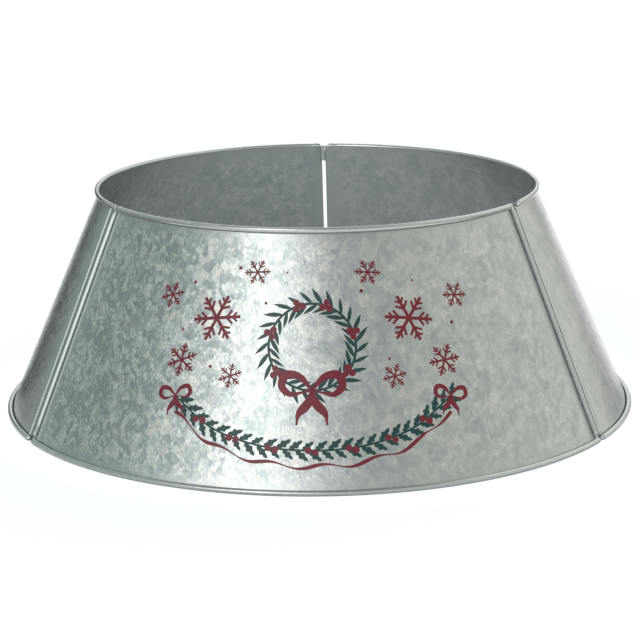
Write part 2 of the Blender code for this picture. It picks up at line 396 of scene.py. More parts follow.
def rearRightSide():
    cuts = (blankWidth - rear["rimGap"] / 2,) * 2
    edge = blankWidth - rear["slit"] / 2 - rear["shift"]
    sheet = [column(blankWidth - seam["flatMargin"]), column(edge - rear["tongueStep"]),
             column(edge, crease=rear["rightCreaseShading"])]
    sheet = endRims(sheet, cuts, -1, rear["ends"])
    strips = sheetStrips(sheet, cuts, -1)
    near, far = rear["tongueCreaseShading"]
    tongue = rampColumns(sheet[-1], column(edge + rear["tongueStep"], layer, crease=near), 4)
    tongue[0] = sheet[-1]
    tongue.append(column(blankWidth + rear["slit"] / 2 + rear["tongueLap"], layer, crease=far))
    for left, right in zip(tongue, tongue[1:]):
        strips.append((left, right, stripRow, tongueRow, None, None))
        strips.append((left, right, lastRow - tongueRow, lastRow - stripRow, None, None))
    return strips, sheet[0]


def arcStrips(left, right):
    first, last = seam["flatMargin"], blankWidth - seam["flatMargin"]
    columns = [left] + [column(x) for x in stepsBetween(first, last, cone["arcSteps"])[1:-1]] + [right]
    return [(near, far, 0, lastRow, "rim", "rim") for near, far in zip(columns, columns[1:])]


# Grime with painted shade and highlight, and the painted crease shading near the head
def rowShadeSheen(item, place):
    return item["dirt"] + (item["crease"] if slant - place < tongueEnd else 0)


# Painted shade in the valley between a rim's roll and the sheet
def valleyDirt(place, foot, head):
    inward, end, kind = (place, foot, "foot") if place < slant / 2 else (slant - place, head, "head")
    if end != "rim" or inward < 0:
        return 0
    return rim["valleyDirt"][kind] * (1 - smooth((inward - rim["valley"]) / rim["valleyFade"]))


def columnPoints(item, first, last, foot, head):
    # Place up the slope, height off the sheet, travel along the sheet, grime with painted shade and
    # highlight, and rim share
    points = []
    if foot == "rim":
        points += [(place, out, travel, item["footDirt"], 1)
                   for place, out, travel in reversed(footCurl(item["footSize"])[1:])]
    elif foot == "bare":
        points.append((-rim["bareFoot"], 0, -rim["bareFoot"], rim["bareDirt"]["foot"], 0))
    for row in range(first, last + 1):
        pressed = item["press"] * pressShare(rows[row])
        points.append((rows[row], pressed, rows[row], rowShadeSheen(item, rows[row]), 0))
    if head == "rim":
        points += [(place, out, travel, item["headDirt"], 1)
                   for place, out, travel in headCurl(item["headSize"])[1:]]
    elif head == "bare":
        points.append((slant + rim["bareHead"], 0, slant + rim["bareHead"], rim["bareDirt"]["head"], 0))
    return [(place, bandLift(item["lift"], place) + out, travel, dirt, rolled)
            for place, out, travel, dirt, rolled in points]


# The crystals fade out over these distances
calmWidth = {"seam": 0.036, "rim": 0.018}


def linkObject(name, data):
    obj = bpy.data.objects.new(name, data)
    bpy.context.scene.collection.objects.link(obj)
    return obj


def linkShape(name, shape):
    mesh = bpy.data.meshes.new(name)
    shape.to_mesh(mesh)
    shape.free()
    return linkObject(name, mesh)


def makeBlank(name, strips):
    # The panel as a flat blank with its rims and folds already rolled: X across, Y up the slope
    shape = bmesh.new()
    flat = shape.verts.layers.float_vector.new("flatSheet")
    # Per vertex: grime with painted shade and highlight, rim share and calm; and painted shade in the rims'
    # valleys
    shadeSheenRollCalm = shape.verts.layers.float_vector.new("shadeSheenRollCalm")
    valley = shape.verts.layers.float.new("valley")
    for left, right, first, last, foot, head in strips:
        sides = []
        for item in (left, right):
            verts = []
            for place, out, travel, dirt, rolled in columnPoints(item, first, last, foot, head):
                vert = shape.verts.new((item["x"], place, out))
                turn = (item["x"] / blankWidth - 0.5) * cone["panelAngle"] * sin(slope)
                reach = apexReach - travel
                vert[flat] = (reach * sin(turn), -reach * cos(turn), 0)
                inland = min(min(item["x"], blankWidth - item["x"]) / calmWidth["seam"],
                             min(place, slant - place) / calmWidth["rim"])
                vert[shadeSheenRollCalm] = (dirt, rolled, smooth(inland))
                vert[valley] = 0 if rolled else valleyDirt(place, foot, head)
                verts.append(vert)
            sides.append(verts)
        for row in range(len(sides[0]) - 1):
            shape.faces.new((sides[0][row], sides[1][row], sides[1][row + 1], sides[0][row + 1]))
    bmesh.ops.remove_doubles(shape, verts=shape.verts, dist=cone["sheet"] / 20)
    return linkShape(name, shape)


class Wire:
    # A node's output that sums and products are written with: each step adds a Math node
    def __init__(self, tree, socket):
        self.tree, self.socket = tree, socket

    def math(self, operation, *values):
        return addNode(self.tree, "ShaderNodeMath", dict(enumerate((self, *values))), operation=operation)

    def vector(self, operation, *values, output=0):
        links = dict(enumerate((self, *values)))
        return addNode(self.tree, "ShaderNodeVectorMath", links, output, operation=operation)

    def parts(self, axes="XYZ"):
        return [addNode(self.tree, "ShaderNodeSeparateXYZ", {0: self}, axis) for axis in axes]

    def into(self, node, name):
        self.tree.links.new(self.socket, node.inputs[name])

    def __add__(self, other):
        return self.math("ADD", other)

    def __mul__(self, other):
        return self.math("MULTIPLY", other)

    def __sub__(self, other):
        return self.math("SUBTRACT", other)

    def __rsub__(self, other):
        return addNode(self.tree, "ShaderNodeMath", {0: other, 1: self}, operation="SUBTRACT")

    def __truediv__(self, other):
        return self.math("DIVIDE", other)

    def __neg__(self):
        return self * -1

    __radd__, __rmul__ = __add__, __mul__


def addNode(tree, kind, links=None, output=0, **settings):
    # Returns one output of a new node; links and values are keyed by the socket's name or its number
    node = tree.nodes.new(kind)
    for key, value in settings.items():
        setattr(node, key, value)
    for key, value in (links or {}).items():
        if isinstance(value, Wire):
            value.into(node, key)
        else:
            node.inputs[key].default_value = value
    return Wire(tree, node.outputs[output]) if node.outputs else None


def combine(tree, x=0.0, y=0.0, z=0.0):
    return addNode(tree, "ShaderNodeCombineXYZ", {"X": x, "Y": y, "Z": z})


def noise(vector, scale, detail, output=0):
    return addNode(vector.tree, "ShaderNodeTexNoise", {
        "Vector": vector, "Scale": scale, "Detail": detail}, output)


def startTree(name, inputs):
    # A Geometry Nodes tree with named inputs; returns it with a dictionary of them
    tree = bpy.data.node_groups.new(name, "GeometryNodeTree")
    tree.interface.new_socket("Geometry", in_out="INPUT", socket_type="NodeSocketGeometry")
    for label, value in inputs.items():
        kind = "NodeSocketMaterial" if value is None else "NodeSocketFloat"
        socket = tree.interface.new_socket(label, in_out="INPUT", socket_type=kind)
        if value is not None:
            socket.default_value = value
    tree.interface.new_socket("Geometry", in_out="OUTPUT", socket_type="NodeSocketGeometry")
    start = tree.nodes.new("NodeGroupInput")
    return tree, {socket.name: Wire(tree, socket) for socket in start.outputs if socket.name}


def moveTo(geometry, place):
    return addNode(geometry.tree, "GeometryNodeSetPosition", {"Geometry": geometry, "Position": place})


def endTree(tree, geometry, material):
    realized = addNode(tree, "GeometryNodeRealizeInstances", {"Geometry": geometry})
    painted = addNode(tree, "GeometryNodeSetMaterial", {"Geometry": realized, "Material": material})
    addNode(tree, "NodeGroupOutput", {"Geometry": painted})
    return tree


def conePoint(tree, sockets, azimuth, sideways, place, out):
    # A point on the cone, from its azimuth, a straight step sideways, its place up the slope and its height
    sine, cosine = sockets["Slope"].math("SINE"), sockets["Slope"].math("COSINE")
    turnSine, turnCosine = azimuth.math("SINE"), azimuth.math("COSINE")
    reach = sockets["Foot Radius"] - place * sine + out * cosine
    return combine(tree, reach * turnSine + sideways * turnCosine, sideways * turnSine - reach * turnCosine,
                   place * cosine + out * sine + sockets["Foot Height"])


# The sheet isn't dead flat: depth and seed of each panel's long shallow waves, which fade out at the rims
dents = {"scale": 9.0, "rimFade": 0.040,
         "left": (0.0005, 3.1), "front": (0.0004, 7.7), "right": (0.0005, 12.4)}


def slightDents(tree, sockets, azimuth, place):
    spot = combine(tree, azimuth * sockets["Foot Radius"], place, sockets["Seed"])
    inner = place.math("MINIMUM", slant - place) / dents["rimFade"]
    inner = inner.math("MINIMUM", 1).math("MAXIMUM", 0)
    return (noise(spot, dents["scale"], 1.0) - 0.5) * sockets["Wave"] * inner


def rollTree():
    # Rolls a flat blank to its panel of the cone, with a flat margin beside each seam
    tree, sockets = startTree("rollPanel", {
        "Foot Radius": 0.3, "Foot Height": 0.0, "Slope": 0.4, "Panel Angle": 2.0, "Start": 0.0,
        "Blank Width": 0.6, "Flat Margin": 0.01, "Wave": 0.0, "Seed": 0.0, "Material": None})
    x, place, out = addNode(tree, "GeometryNodeInputPosition").parts()
    width, margin, angle = sockets["Blank Width"], sockets["Flat Margin"], sockets["Panel Angle"]
    radius = sockets["Foot Radius"] - place * sockets["Slope"].math("SINE")
    turn = (margin / radius).math("ARCSINE")
    arcTurn = (x - margin) / (width - margin * 2) * (angle - turn * 2) + turn
    edge = margin * 1.0001                            # keeps the margin's last column on the flat
    isRight = x.math("GREATER_THAN", width - edge)
    isFlat = x.math("LESS_THAN", edge) + isRight
    sag = margin * margin * 0.5 / radius / sockets["Slope"].math("COSINE")
    flatOrArc = lambda flatValue, arcValue: addNode(
        tree, "ShaderNodeMix", {"Factor": isFlat, "A": arcValue, "B": flatValue})
    azimuth = flatOrArc(isRight * angle, arcTurn) + sockets["Start"]
    sideways = flatOrArc(x - isRight * width, 0.0)
    height = out + slightDents(tree, sockets, azimuth, place) * (1 - isFlat) - isFlat * sag
    rolled = moveTo(sockets["Geometry"], conePoint(tree, sockets, azimuth, sideways, place, height))
    return endTree(tree, rolled, sockets["Material"])


def settle(obj):
    # Turns the evaluated object into a plain mesh and removes its modifiers
    bpy.context.view_layer.update()
    graph = bpy.context.evaluated_depsgraph_get()
    mesh = bpy.data.meshes.new_from_object(obj.evaluated_get(graph))
    obj.modifiers.clear()
    obj.data = mesh
    return obj


def runTree(obj, tree, values):
    modifier = obj.modifiers.new(tree.name, "NODES")
    modifier.node_group = tree
    for item in tree.interface.items_tree:
        if item.in_out == "INPUT" and item.name in values:
            modifier[item.identifier] = values[item.name]
    return settle(obj)


def thicken(obj, thickness, evenly):
    wall = obj.modifiers.new("wall", "SOLIDIFY")
    wall.thickness = thickness
    wall.offset = 0
    wall.use_even_offset = wall.use_quality_normals = evenly
    return settle(obj)


coneValues = {"Foot Radius": footRadius, "Foot Height": footHeight, "Slope": slope}


def makePanel(name, node, start, leftSide, rightSide, material, wave, seed):
    leftStrips, leftColumn = leftSide
    rightStrips, rightColumn = rightSide
    panel = makeBlank(name, leftStrips + arcStrips(leftColumn, rightColumn) + rightStrips)
    runTree(panel, panelTree, {
        **coneValues, "Panel Angle": cone["panelAngle"], "Start": start, "Blank Width": blankWidth,
        "Flat Margin": seam["flatMargin"], "Wave": wave, "Seed": seed, "Material": material})
    thicken(panel, cone["sheet"], True)
    panel.data.shade_smooth()
    panel.data.set_sharp_from_angle(angle=radians(40))
    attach(panel, node)
    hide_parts(node)
    "zinc_" + node.split("_")[0]
    print(name, "has", len(panel.data.polygons), "faces")


def startMaterial(name):
    material = bpy.data.materials.new(name)
    material.use_nodes = True
    tree = material.node_tree
    return material, tree, tree.nodes["Principled BSDF"]


def fade(value, start, stop, way="SMOOTHSTEP"):
    # From 0 at the start to 1 at the stop
    return addNode(value.tree, "ShaderNodeMapRange", {"Value": value, "From Min": start, "From Max": stop},
                   interpolation_type=way)


def colourStops(factor, stops):
    ramped = addNode(factor.tree, "ShaderNodeValToRGB", {"Fac": factor})
    ramp = ramped.socket.node.color_ramp
    ramp.interpolation = "EASE"
    while len(ramp.elements) > 1:
        ramp.elements.remove(ramp.elements[-1])
    for index, (place, colour) in enumerate(stops):
        element = ramp.elements[0] if index == 0 else ramp.elements.new(place)
        element.position = place
        element.color = (*colour, 1)
    return ramped


def mixColours(tree, factor, first, second, way="MIX"):
    first, second = [part if isinstance(part, Wire) else (*part, 1) for part in (first, second)]
    return addNode(tree, "ShaderNodeMix", {"Factor": factor, 6: first, 7: second}, 2,
                   data_type="RGBA", blend_type=way)


def bump(height, links=None):
    # Very fine unevenness
    return addNode(height.tree, "ShaderNodeBump", {
        "Strength": 0.06, "Distance": 0.0001, "Height": height, **(links or {})})


zinc = {
    "patch": 0.0046,                # size of a crystal patch
    "fleck": 0.0017,                # of the flecks in it
    "bloom": 0.0090,                # and of the soft blooms that run over many
    "hue": 0.0090,                  # and of the patches of slight tint
    "cloud": 0.026,
    "stretch": 0.74,                # patches are longer up the slope
    "ragged": 0.0026,
    "raggedGrain": 0.0024,
    "patchSoftness": 0.35,
    "bloomSoftness": 0.7,
    "patchShare": 0.38,             # how much each counts in the tone
    "bloomShare": 0.51,             # less the flecks' share
    "cloudShare": 0.26,
    "hueShare": 0.65,
    "paintedGlintSide": (-0.12, 0.08),    # from one side of a sheet to the other, where painted glints make the crystals stronger
    "paleRarity": 2.5,
    "paleMean": 0.29,
    "patchLean": 0.045,             # how far the crystals' faces lean out of the sheet's own
    "fleckLean": 0.085,
    "calmShare": 0.16,
    "tones": [(0.10, (0.355, 0.405, 0.412)), (0.40, (0.468, 0.502, 0.500)), (0.62, (0.562, 0.579, 0.560)),
              (0.95, (0.725, 0.738, 0.700))],
    "coolTint": (0.955, 1.0, 1.010),
    "warmTint": (1.040, 1.0, 0.950),
    # the colour of painted highlights, on seams' crests and on the rims
    "sheenColour": (0.860, 0.890, 0.890),
    "rimSheen": 0.12,
    "grimeShade": (0.060, 0.066, 0.070),
    "grimeShadeScale": 160.0,
    "grimeShadeStrength": 0.6,
    "fineScale": 1400.0,
    "roughness": 0.18,
    "patchRough": 0.10,             # what a patch's tone adds to it, and the grime with painted shade
    "grimeShadeRough": 0.25,
    "rimGloss": 0.07,
    "metal": 0.76,                  # the rest is its dull grey bloom
    # Of each panel: the contrast and the flecks' share at its two sides, the crystals' lean, tone and seed.
    # The tone is painted darker on the left panel and lighter on the right, as painted shade and light across
    # the collar
    "left": ((0.9, 0.9), (0.30, 0.30), 0.4, 0.44, 1.7),
    "front": ((2.0, 0.85), (0.40, 0.20), 0.85, 0.50, 4.3),
    "right": ((0.7, 0.7), (0.16, 0.16), 0.4, 0.53, 8.9),
}


def attribute(tree, name, output="Vector"):
    return addNode(tree, "ShaderNodeAttribute", None, output, attribute_name=name)


def crystals(vector, size, **softness):
    return addNode(vector.tree, "ShaderNodeTexVoronoi", {"Vector": vector, "Scale": 1 / size, **softness},
                   "Color", voronoi_dimensions="2D", feature="SMOOTH_F1" if softness else "F1")


def makeZinc(name, contrast, flecks, lean, toneWithLight, seed):
    # Galvanised steel: small ragged crystals that differ in tone, gloss and lean
    material, tree, shader = startMaterial(name)
    flat = attribute(tree, "flatSheet")
    dirt, rolled, inland = attribute(tree, "shadeSheenRollCalm").parts()
    placed = addNode(tree, "ShaderNodeMapping", {
        "Vector": flat, "Location": (seed, seed / 2, 0), "Scale": (1, zinc["stretch"], 1)})
    wobble = noise(placed, 1 / zinc["raggedGrain"], 4.0, "Color").vector("SUBTRACT", (0.5,) * 3)
    ragged = wobble.vector("MULTIPLY_ADD", (zinc["ragged"],) * 3, placed)
    patch = crystals(ragged, zinc["patch"], Smoothness=zinc["patchSoftness"])
    bloom = crystals(ragged, zinc["bloom"], Smoothness=zinc["bloomSoftness"])
    fleck, cloud = crystals(ragged, zinc["fleck"]), noise(placed, 1 / zinc["cloud"], 4.0)
    patchTone, fleckTone, bloomTone = patch.parts("X")[0], fleck.parts("Y")[0], bloom.parts("X")[0]
    # The crystals calm down near the seams and the rims; towards one side of a sheet their contrast and pale
    # flecks are painted stronger, as painted glints beside the highlight
    calm = (1 - rolled) * inland * (1 - zinc["calmShare"]) + zinc["calmShare"]
    side = fade(flat.parts("X")[0], *zinc["paintedGlintSide"])
    strength = side * (contrast[1] - contrast[0]) + contrast[0]
    fleckShare = side * (flecks[1] - flecks[0]) + flecks[0]
    # Few flecks are pale, and most keep the sheet's tone
    pale = fleckTone.math("POWER", zinc["paleRarity"]) - zinc["paleMean"]
    blend = (patchTone - 0.5) * zinc["patchShare"] + pale * fleckShare
    blend += (bloomTone - 0.5) * (zinc["bloomShare"] - fleckShare) + (cloud - 0.5) * zinc["cloudShare"]
    colour = colourStops(blend * calm * strength + toneWithLight, zinc["tones"])
    hue = (noise(placed, 1 / zinc["hue"], 3.0) - 0.5) * (strength * strength * zinc["hueShare"])
    tint = mixColours(tree, hue + 0.5, zinc["coolTint"], zinc["warmTint"])
    colour = mixColours(tree, 1.0, colour, tint, "MULTIPLY")
    # The painted shade in a rim's valley lies on the outside only, where the surface faces away from the axis
    fromAxis = addNode(tree, "ShaderNodeTexCoord", None, "Object").vector("MULTIPLY", (1, 1, 0))
    normal = addNode(tree, "ShaderNodeTexCoord", None, "Normal")
    isOutside = normal.vector("DOT_PRODUCT", fromAxis, output="Value").math("GREATER_THAN", 0)
    valley = attribute(tree, "valley", "Fac") * isOutside
    # Grime with painted shade darkens the zinc, and a painted highlight brightens the seams' crests and the
    # rims
    grimeShade = dirt.math("MAXIMUM", valley) * (noise(flat, zinc["grimeShadeScale"], 5.0) + 1) * zinc["grimeShadeStrength"]
    grimeShade = grimeShade.math("MINIMUM", 1)
    paintedSheen = (-dirt).math("MAXIMUM", rolled * zinc["rimSheen"])
    colour = mixColours(tree, paintedSheen, colour, zinc["sheenColour"])
    mixColours(tree, grimeShade, colour, zinc["grimeShade"]).into(shader, "Base Color")
    shader.inputs["Metallic"].default_value = zinc["metal"]
    rough = patchTone * calm * zinc["patchRough"] + zinc["roughness"] + grimeShade * zinc["grimeShadeRough"]
    (rough - rolled * zinc["rimGloss"]).into(shader, "Roughness")
    # Each crystal's face leans its own way, which makes the glints beside a highlight
    normal = addNode(tree, "ShaderNodeNewGeometry", None, "Normal")
    for cell, most in ((patch, zinc["patchLean"]), (fleck, zinc["fleckLean"])):
        swing = {0: cell.vector("SUBTRACT", (0.5,) * 3), "Scale": calm * (lean * most)}
        normal = normal.vector("ADD", addNode(tree, "ShaderNodeVectorMath", swing, operation="SCALE"))
    bump(noise(flat, zinc["fineScale"], 2.0), {"Normal": normal.vector("NORMALIZE")}).into(shader, "Normal")
    return material


studio = {
    # Brightness of the room by azimuth from the camera's side, positive to the right: low down and higher up
    "low": [(-180, 0.25), (-170, 0.06), (-152, 0.03), (-142, 0.22), (-131, 0.40), (-118, 0.43), (-104, 0.38),
            (-88, 0.37), (-70, 0.41), (-45, 0.40), (0, 0.43), (25, 0.48), (50, 0.60), (75, 0.72), (100, 0.80),
            (118, 0.90), (134, 0.90), (144, 0.66), (152, 0.46), (165, 0.60), (180, 0.90)],
    "high": [(-180, 1.00), (-165, 0.80), (-150, 0.40), (-118, 0.42), (-92, 0.40), (-70, 0.44), (-45, 0.40),
             (0, 0.44), (25, 0.52), (50, 0.66), (90, 0.84), (125, 1.00), (155, 1.20), (180, 1.25)],
    "highRise": (0.15, 0.55),       # each rise is a share of the way up to the zenith, from none to all of it
    "shadedSide": (0.83, 1.0, 0.95),    # the left of the room is a little green, the right a little warm
    "shadeBegins": (-175, -155),
    "shadeEnds": (-20, -70),
    "openSide": (0.985, 1.0, 0.925),
    "warmBegins": (-10, 50),
    "overhead": (1.28, 1.48, 1.58),
    "overheadRise": (0.72, 0.92),
    # What the metal mirrors: a dark ceiling, the white backdrop by its turn behind the collar, and the floor
    "ceiling": 0.12,
    "ceilingRise": (0.84, 0.93),
    "backdropTurn": (radians(150), radians(168)),
    "backdropRise": (0.12, 0.22),
    # The floor round the collar, by its turn in degrees from a middle strip that is wider in front
    "floorInside": 0.045,
    "floorAround": [(-90, 0.28), (-47, 0.26), (-40, 0.08), (-27, 0.03), (-21, 0.35), (-15, 1.0), (-3, 1.05),
                    (0, 1.10), (4, 1.22), (12, 1.22), (20, 1.0), (28, 0.62), (38, 0.44)],
    "middleBack": 0.33,
    "middleFront": 0.44,
    "frontPlace": -0.2,
    "outsideReach": 0.38,
    "floorAlbedo": {"inside": 0.60, "outside": 0.42},
    "floorGlow": 0.60,
    "floorSize": 16,
}

# One broad soft light left of the camera. It narrows as it rises, by this angle per unit of height
glow = {
    "azimuth": radians(-24.5),
    "width": radians(22),
    "narrowing": radians(60),
    "strength": 2.05,
    "height": 0.52,
    "reach": (-0.12, 0.08),
    "footRise": (0.05, 0.36),
    "headFall": (0.98, 0.75),
}


def smoothBetween(value, start, stop):
    return smooth((value - start) / (stop - start))


def roomRing(share, levels):
    stops = []
    for azimuth, level in levels:
        shaded = smoothBetween(azimuth, *studio["shadeBegins"]) * smoothBetween(azimuth, *studio["shadeEnds"])
        warm = smoothBetween(azimuth, *studio["warmBegins"])
        tint = [1 + (left - 1) * shaded + (right - 1) * warm
                for left, right in zip(studio["shadedSide"], studio["openSide"])]
        stops.append(((azimuth + 180) / 360, tuple(level * part for part in tint)))
    return colourStops(share, stops)


def ray(tree, kind):
    return addNode(tree, "ShaderNodeLightPath", None, kind)


def seenDirectly(tree):
    return ray(tree, "Is Camera Ray").math("MAXIMUM", ray(tree, "Is Transmission Ray"))


def makeWorld():
    world = bpy.data.worlds.new("studio")
    world.use_nodes = True
    tree = world.node_tree
    tree.nodes.clear()
    x, y, z = addNode(tree, "ShaderNodeTexCoord", None, "Generated").parts()
    turn = x.math("ARCTAN2", -y)
    share = turn * (0.5 / pi) + 0.5
    low, high = roomRing(share, studio["low"]), roomRing(share, studio["high"])
    ring = mixColours(tree, fade(z, *studio["highRise"]), low, high)
    room = mixColours(tree, fade(z, *studio["overheadRise"]), ring, studio["overhead"])
    behind = fade(turn.math("ABSOLUTE"), *studio["backdropTurn"]) * fade(z, *studio["backdropRise"])
    mirrored = mixColours(tree, behind, ring, (1, 1, 1))
    mirrored = mixColours(tree, fade(z, *studio["ceilingRise"]), mirrored, (studio["ceiling"],) * 3)
    room = mixColours(tree, ray(tree, "Is Glossy Ray"), room, mirrored)
    lowest, highest = glow["reach"]
    above = addNode(tree, "ShaderNodeClamp", {"Value": z - glow["height"], "Min": lowest, "Max": highest})
    away = (turn - glow["azimuth"]) / (above * -glow["narrowing"] + glow["width"])
    light = (-(away * away)).math("EXPONENT") * glow["strength"]
    light = light * fade(z, *glow["footRise"]) * fade(z, *glow["headFall"])
    lit = mixColours(tree, 1.0, room, combine(tree, light, light, light), "ADD")
    colour = mixColours(tree, seenDirectly(tree), lit, (1, 1, 1))
    background = addNode(tree, "ShaderNodeBackground", {"Color": colour, "Strength": 1.0})
    addNode(tree, "ShaderNodeOutputWorld", {"Surface": background})
    bpy.context.scene.world = world


def makeFloor():
    bpy.ops.mesh.primitive_plane_add(size=studio["floorSize"], location=(0, 0, 0))
    floor = bpy.context.object
    floor.name = "floor"
    material, tree, shader = startMaterial("paleFloor")
    tree.nodes.remove(shader)
    place = addNode(tree, "ShaderNodeNewGeometry", None, "Position")
    reach = place.vector("LENGTH", output="Value")
    outside = fade(reach, cone["bottomDiameter"] / 2, studio["outsideReach"], "LINEAR")
    x, y = place.parts("XY")
    back, front = studio["middleBack"], studio["middleFront"]
    middle = fade(y, studio["frontPlace"], 0.0, "LINEAR") * (back - front) + front
    within = addNode(tree, "ShaderNodeClamp", {"Value": x, "Min": -middle, "Max": middle})
    turn = (x - within).math("ARCTAN2", y.math("ABSOLUTE"))
    around = colourStops(turn * (1 / pi) + 0.5, [
        (0.5 + degrees / 180, (level,) * 3) for degrees, level in studio["floorAround"]])
    mirrored = ray(tree, "Is Glossy Ray") * outside
    inner, outer = studio["floorAlbedo"]["inside"], studio["floorAlbedo"]["outside"]
    albedo = (1 - mirrored) * (outside * (outer - inner) + inner)
    matt = addNode(tree, "ShaderNodeBsdfDiffuse", {"Color": albedo})
    level = (seenDirectly(tree) * studio["floorGlow"]).math(
        "MAXIMUM", ray(tree, "Is Glossy Ray") * studio["floorInside"]).math("MAXIMUM", mirrored * around)
    glowing = addNode(tree, "ShaderNodeEmission", {"Color": (1, 1, 1, 1), "Strength": level})
    both = addNode(tree, "ShaderNodeAddShader", {0: matt, 1: glowing})
    both.into(tree.nodes["Material Output"], "Surface")
    floor.data.materials.append(material)


view = {
    "turn": radians(2.14),          # the camera stands a little to the right
    "pitch": radians(14.60),
    "roll": radians(-0.67),
    "place": (0.0015, -2.220, 0.661),
    "lens": 121.8,
    "sensor": 36.0,
}


def makeCamera():
    data = bpy.data.cameras.new("photoView")
    data.sensor_width, data.lens = view["sensor"], view["lens"]
    camera = linkObject("photoView", data)
    camera.matrix_world = (Matrix.Rotation(view["turn"], 4, "Z") @ Matrix.Translation(view["place"])
                           @ Matrix.Rotation(pi / 2 - view["pitch"], 4, "X")
                           @ Matrix.Rotation(view["roll"], 4, "Z"))
    bpy.context.scene.camera = camera


# The decoration on the front panel, laid out flat: X across, Y up the slope, from its middle
decoration = {
    "slant": 0.125,                 # its middle, from the foot
    "side": 0.004,
    "wreath": {"middle": (0, 0.012), "radius": 0.041, "spacing": 0.0050, "length": 0.0190, "width": 0.0074,
               "stem": 0.0024, "lean": 0.75, "lobes": 0.0},
    "swag": {"points": [(-0.134, -0.030), (-0.096, -0.062), (-0.049, -0.080), (0, -0.085),
                        (0.049, -0.080), (0.096, -0.062), (0.134, -0.030)],
             "spacing": 0.0060, "length": 0.0165, "width": 0.0076, "stem": 0.0020, "lean": 0.66,
             "lobes": 3.0},
    "swagStep": 0.0040,
    # A leaf is blunt towards its tip, with lobes cut into it, and its size varies along the stem
    "leaf": {"columns": 15, "blunt": 0.85, "lobeDepth": 0.22, "body": 0.78, "beat": 2.4, "uneven": 0.09,
             "mean": 0.94, "weld": 0.00001},
    "ribbon": {"drop": 0.0150, "wave": 0.0022, "waves": 6, "width": 0.0024, "step": 0.0020},
    "berry": {"radius": 0.0032, "uneven": 0.08, "apart": 1.15, "turns": (0.2, 2.3, 4.4),
              "wreathTurns": (0.35, 1.25, 1.9, 2.8, 3.75, 5.7), "swagFirst": 9, "swagLast": -5,
              "swagEvery": 10, "pairApart": 1.05, "pairDrop": 0.5},
    "dotBeat": 1.7,                 # the dots' sizes vary with it
    "bow": 0.0240,
    "sideBow": 0.0135,
    "bowLoop": [(0, 0), (-0.45, 0.52), (-1.0, 0.62), (-1.18, 0.18), (-0.85, -0.14), (-0.40, -0.08), (0, 0)],
    "bowTail": [(0, 0), (-0.16, -0.50), (-0.52, -0.92), (-0.60, -1.35)],
    "bowThick": (0.25, 0.27),
    "bowStep": 0.0022,
    # The bars of one arm of a flake, with their widths, as shares of its size
    "flakeBars": [((0, 0), (1, 0), 0.13), ((0.42, 0), (0.66, 0.27), 0.10), ((0.42, 0), (0.66, -0.27), 0.10),
                  ((0.68, 0), (0.85, 0.19), 0.09), ((0.68, 0), (0.85, -0.19), 0.09)],
    "flakes": [(-0.092, 0.042, 0.0235, 0), (0.092, 0.042, 0.0235, 0), (-0.128, 0.004, 0.0160, 0.26),
               (0.128, 0.004, 0.0160, 0.26), (-0.140, 0.068, 0.0130, 0.12), (0.140, 0.068, 0.0130, 0.12),
               (-0.078, -0.014, 0.0120, 0.3), (0.078, -0.014, 0.0120, 0.3), (-0.052, 0.084, 0.0125, 0),
               (0.052, 0.084, 0.0125, 0)],
    # Dots on a spiral of equal turns, flattened, that keep clear of the flakes and the wreath
    "snow": {"count": 46, "turn": 2.39996, "start": 0.030, "spread": 0.0175, "wide": 1.25, "tall": 0.75,
             "middle": 0.030, "clear": 0.004, "wreathMiddle": 0.010, "wreathClear": 0.062, "halfWidth": 0.150,
             "lowest": -0.020, "highest": 0.092, "radius": 0.0014, "uneven": 0.3},
}

ink = {
    "red": (0.150, 0.004, 0.014),
    "green": (0.0010, 0.0420, 0.0390),
    "mottleScale": 420.0,
    "thin": (0.35, 0.75),           # where it lies thin it is paler
    "paler": 1.4,
    "palest": 0.002,
    "roughness": 0.26,
    "roughSpread": 0.16,
    "thickness": 0.00008,
    "sunk": 0.00002,                # how far its underside lies in the sheet
    "redOver": 0.00003,             # and the red over the green
}


def linkMesh(name, verts, faces=(), edges=()):
    mesh = bpy.data.meshes.new(name)
    mesh.from_pydata(verts, edges, faces)
    return linkObject(name, mesh)


def smoothPath(points, step):
    # Catmull-Rom through the points, at about the given step
    ends = [tuple(2 * a - b for a, b in zip(points[0], points[1]))]
    ends += list(points) + [tuple(2 * a - b for a, b in zip(points[-1], points[-2]))]
    path = []
    for a, b, c, d in zip(ends, ends[1:], ends[2:], ends[3:]):
        count = max(2, ceil(hypot(c[0] - b[0], c[1] - b[1]) / step))
        path += [tuple(0.5 * (2 * q + (r - p) * share + (2 * p - 5 * q + 4 * r - s) * share ** 2
                              + (3 * q - p - 3 * r + s) * share ** 3) for p, q, r, s in zip(a, b, c, d))
                 for share in stepsBetween(0, 1, count)[:-1]]
    return path + [points[-1]]


def stroke(name, path, widthAt):
    # A pen stroke: a strip of faces along a path, whose width varies with the share of the way
    verts, faces = [], []
    for index, (x, y) in enumerate(path):
        before, after = path[max(index - 1, 0)], path[min(index + 1, len(path) - 1)]
        length = hypot(after[0] - before[0], after[1] - before[1])
        sideX, sideY = -(after[1] - before[1]) / length, (after[0] - before[0]) / length
        half = widthAt(index / (len(path) - 1)) / 2
        for place in (half, 0, -half):
            verts.append((x + sideX * place, y + sideY * place, 0))
        if index:
            base = 3 * index
            faces += [(base - 3, base - 2, base + 1, base), (base - 2, base - 1, base + 2, base + 1)]
    return linkMesh(name, verts, faces)


def turned(angle):
    return addNode(angle.tree, "FunctionNodeEulerToRotation", {0: combine(angle.tree, z=angle)})


def scatter(points, instance, links):
    return addNode(points.tree, "GeometryNodeInstanceOnPoints", {
        "Points": points, "Instance": instance, **links})


